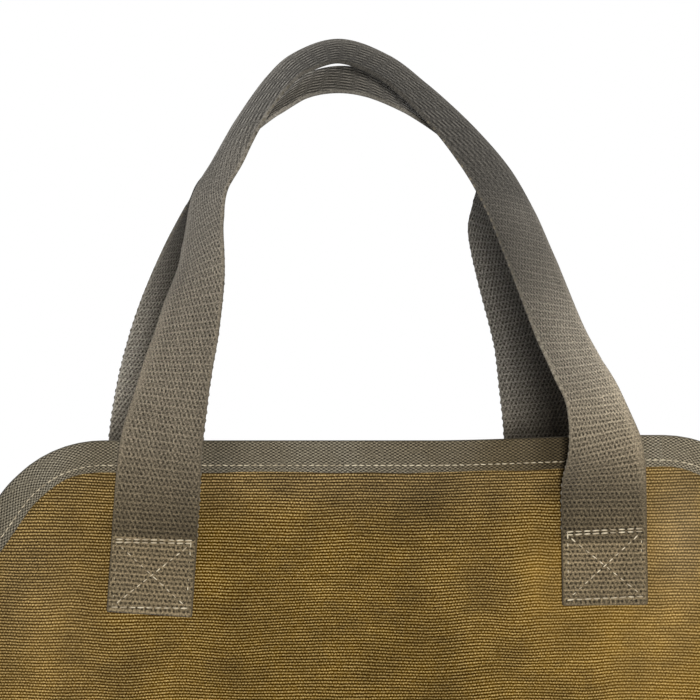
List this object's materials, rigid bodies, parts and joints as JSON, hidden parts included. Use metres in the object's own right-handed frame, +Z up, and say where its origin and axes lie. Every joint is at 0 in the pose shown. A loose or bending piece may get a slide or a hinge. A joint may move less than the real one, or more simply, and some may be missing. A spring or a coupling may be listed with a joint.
{
  "type": "log carrier",
  "caption": "Open-sided sling of waxed canvas with a taped edge, cut corners and two webbing handles, for carrying firewood by hand.",
  "frame": {"origin": "crown of the back handle, where a hand holds both handles", "axes": "+X along the top edges, +Y from the front face to the back face, +Z up as it hangs"},
  "size_m": [0.4805, 0.1771, 0.6633],
  "materials": {
    "waxed_canvas": "ribbed duck cloth, waxed, matt with darker mottling",
    "binding_tape": "twill tape folded over the edge, one row of stitches",
    "cotton_webbing": "basket-woven strap with close edges, box and cross stitched ends"
  },
  "bodies": {
    "root": {"canvas_panel": "waxed_canvas", "edge_binding": "binding_tape", "front_handle": "cotton_webbing", "back_handle": "cotton_webbing"}
  },
  "joints": []
}
